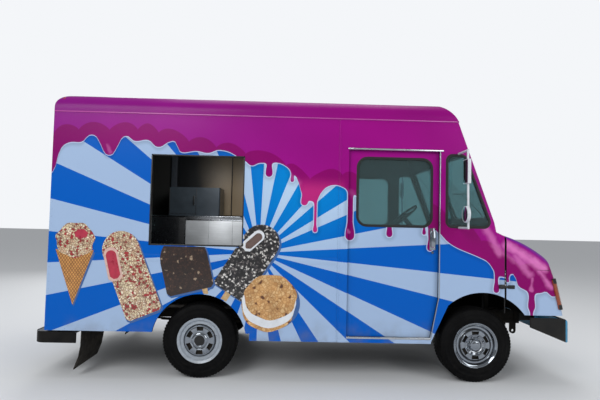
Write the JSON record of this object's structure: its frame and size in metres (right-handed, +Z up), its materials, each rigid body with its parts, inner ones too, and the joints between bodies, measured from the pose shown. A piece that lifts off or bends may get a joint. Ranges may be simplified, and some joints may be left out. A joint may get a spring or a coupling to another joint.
{
  "type": "ice cream truck",
  "caption": "Forward-cab step van with sliding cab doors, tilting nose, steered front wheels, a square serving window and swinging rear doors.",
  "frame": {"origin": "on the floor under the middle of the overall length and width", "axes": "+X to the front of the truck, +Y to its left side, +Z up"},
  "size_m": [5.256, 2.836, 2.8059],
  "materials": {
    "wrap_paint": "printed vinyl wrap on painted sheet, gloss",
    "roof_paint": "printed vinyl wrap on painted sheet, gloss",
    "chassis_black": "black chassis paint, dusty",
    "cast_iron": "raw casting, dull",
    "exhaust_steel": "dull aluminised steel",
    "deck_aluminium": "worn tread plate",
    "clear_glass": "clear, slightly green",
    "dash_plastic": "moulded, matte",
    "seat_vinyl": "black vinyl",
    "inner_panel": "grey-blue enamel",
    "stainless": "brushed stainless steel",
    "bumper_paint": "pale blue enamel",
    "bumper_black": "black paint",
    "flap_rubber": "matte black rubber",
    "mirror_housing": "grey enamel",
    "red_lens": "red lens",
    "amber_lens": "amber lens",
    "grille_black": "moulded black",
    "lamp_glass": "clear ribbed lens",
    "wheel_chrome": "polished",
    "wheel_silver": "pale grey enamel",
    "tyre_rubber": "black rubber, dusty"
  },
  "bodies": {
    "truck": {"ladder_frame": "chassis_black", "body_mounts": "chassis_black", "leaf_springs": "chassis_black", "front_axle": "chassis_black", "rear_axle": "chassis_black", "engine_block": "cast_iron", "fuel_tank": "chassis_black", "exhaust": "exhaust_steel", "floor": "deck_aluminium", "step_well_right": "deck_aluminium", "step_well_left": "deck_aluminium", "front_wheelhouses": "chassis_black", "cargo_side_right": "wrap_paint", "cargo_side_left": "wrap_paint", "cab_side_right": "wrap_paint", "cab_side_left": "wrap_paint", "roof": "roof_paint", "rear_frame": "wrap_paint", "front_panel": "wrap_paint", "cab_glass": "clear_glass", "dashboard": "dash_plastic", "seat_frame": "chassis_black", "seat_cushion": "seat_vinyl", "seat_back": "seat_vinyl", "bulkhead": "inner_panel", "service_counter": "stainless", "countertop_cooler": "stainless", "front_bumper": "bumper_paint", "rear_bumper": "bumper_black", "mud_flaps": "flap_rubber", "mirrors": "mirror_housing", "rear_lamps": "red_lens", "door_tracks": "deck_aluminium"},
    "hood": {"hood_shell": "wrap_paint", "hood_shields": "chassis_black", "grille": "grille_black", "headlamps": "lamp_glass", "corner_lamps": "amber_lens"},
    "cab_door_right": {"cab_door_right": "wrap_paint", "cab_door_right_glass": "clear_glass"},
    "cab_door_left": {"cab_door_left": "wrap_paint", "cab_door_left_glass": "clear_glass"},
    "rear_door_right": {"rear_door_right": "wrap_paint", "rear_door_right_glass": "clear_glass"},
    "rear_door_left": {"rear_door_left": "wrap_paint", "rear_door_left_glass": "clear_glass"},
    "knuckle_right": {"knuckle_right": "cast_iron"},
    "knuckle_left": {"knuckle_left": "cast_iron"},
    "tie_rod": {"tie_rod": "cast_iron"},
    "steering_wheel": {"steering_wheel": "dash_plastic"},
    "wheel_front_right": {"tyre_front_right": "tyre_rubber", "wheel_front_right": "wheel_chrome"},
    "wheel_front_left": {"tyre_front_left": "tyre_rubber", "wheel_front_left": "wheel_chrome"},
    "wheel_rear_right": {"tyre_rear_right": "tyre_rubber", "wheel_rear_right": "wheel_silver"},
    "wheel_rear_left": {"tyre_rear_left": "tyre_rubber", "wheel_rear_left": "wheel_silver"}
  },
  "joints": [
    {"name": "wheel_rear_right_spin", "type": "hinge", "parent": "truck", "child": "wheel_rear_right", "pos_m": [-1.035, 0, 0.366], "axis": [0, 1, 0], "continuous": true},
    {"name": "wheel_front_right_spin", "type": "hinge", "parent": "knuckle_right", "child": "wheel_front_right", "pos_m": [1.69, 0, 0.366], "axis": [0, 1, 0], "continuous": true},
    {"name": "wheel_rear_left_spin", "type": "hinge", "parent": "truck", "child": "wheel_rear_left", "pos_m": [-1.035, 0, 0.366], "axis": [0, 1, 0], "continuous": true},
    {"name": "wheel_front_left_spin", "type": "hinge", "parent": "knuckle_left", "child": "wheel_front_left", "pos_m": [1.69, 0, 0.366], "axis": [0, 1, 0], "continuous": true},
    {"name": "steer_left", "type": "hinge", "parent": "truck", "child": "knuckle_left", "pos_m": [1.69, 0.78, 0.366], "axis": [0, 0, 1], "range_deg": [-30, 30]},
    {"name": "steer_right", "type": "hinge", "parent": "truck", "child": "knuckle_right", "pos_m": [1.69, -0.78, 0.366], "axis": [0, 0, 1], "range_deg": [-30, 30]},
    {"name": "tie_rod_swing", "type": "hinge", "parent": "knuckle_left", "child": "tie_rod", "pos_m": [1.52, 0.78, 0.28], "axis": [0, 0, 1], "range_deg": [-30, 30]},
    {"name": "steering_wheel_turn", "type": "hinge", "parent": "truck", "child": "steering_wheel", "pos_m": [1.30548, 0.45, 1.64287], "axis": [-0.6516, 0, 0.7586], "range_deg": [-450, 450]},
    {"name": "hood_tilt", "type": "hinge", "parent": "truck", "child": "hood", "pos_m": [2.53, 0, 0.7], "axis": [0, 1, 0], "range_deg": [0, 60]},
    {"name": "cab_door_right_slide", "type": "slide", "parent": "truck", "child": "cab_door_right", "axis": [-1, 0, 0], "range_m": [0, 0.8]},
    {"name": "cab_door_left_slide", "type": "slide", "parent": "truck", "child": "cab_door_left", "axis": [-1, 0, 0], "range_m": [0, 0.8]},
    {"name": "rear_door_right_swing", "type": "hinge", "parent": "truck", "child": "rear_door_right", "pos_m": [-2.537, -0.764, 1.46], "axis": [0, 0, 1], "range_deg": [0, 170]},
    {"name": "rear_door_left_swing", "type": "hinge", "parent": "truck", "child": "rear_door_left", "pos_m": [-2.537, 0.764, 1.46], "axis": [0, 0, -1], "range_deg": [0, 170]}
  ],
  "couplings": [
    {"joint": "steer_right", "follows": "steer_left", "ratio": 1},
    {"joint": "tie_rod_swing", "follows": "steer_left", "ratio": -1},
    {"joint": "steering_wheel_turn", "follows": "steer_left", "ratio": 15}
  ]
}
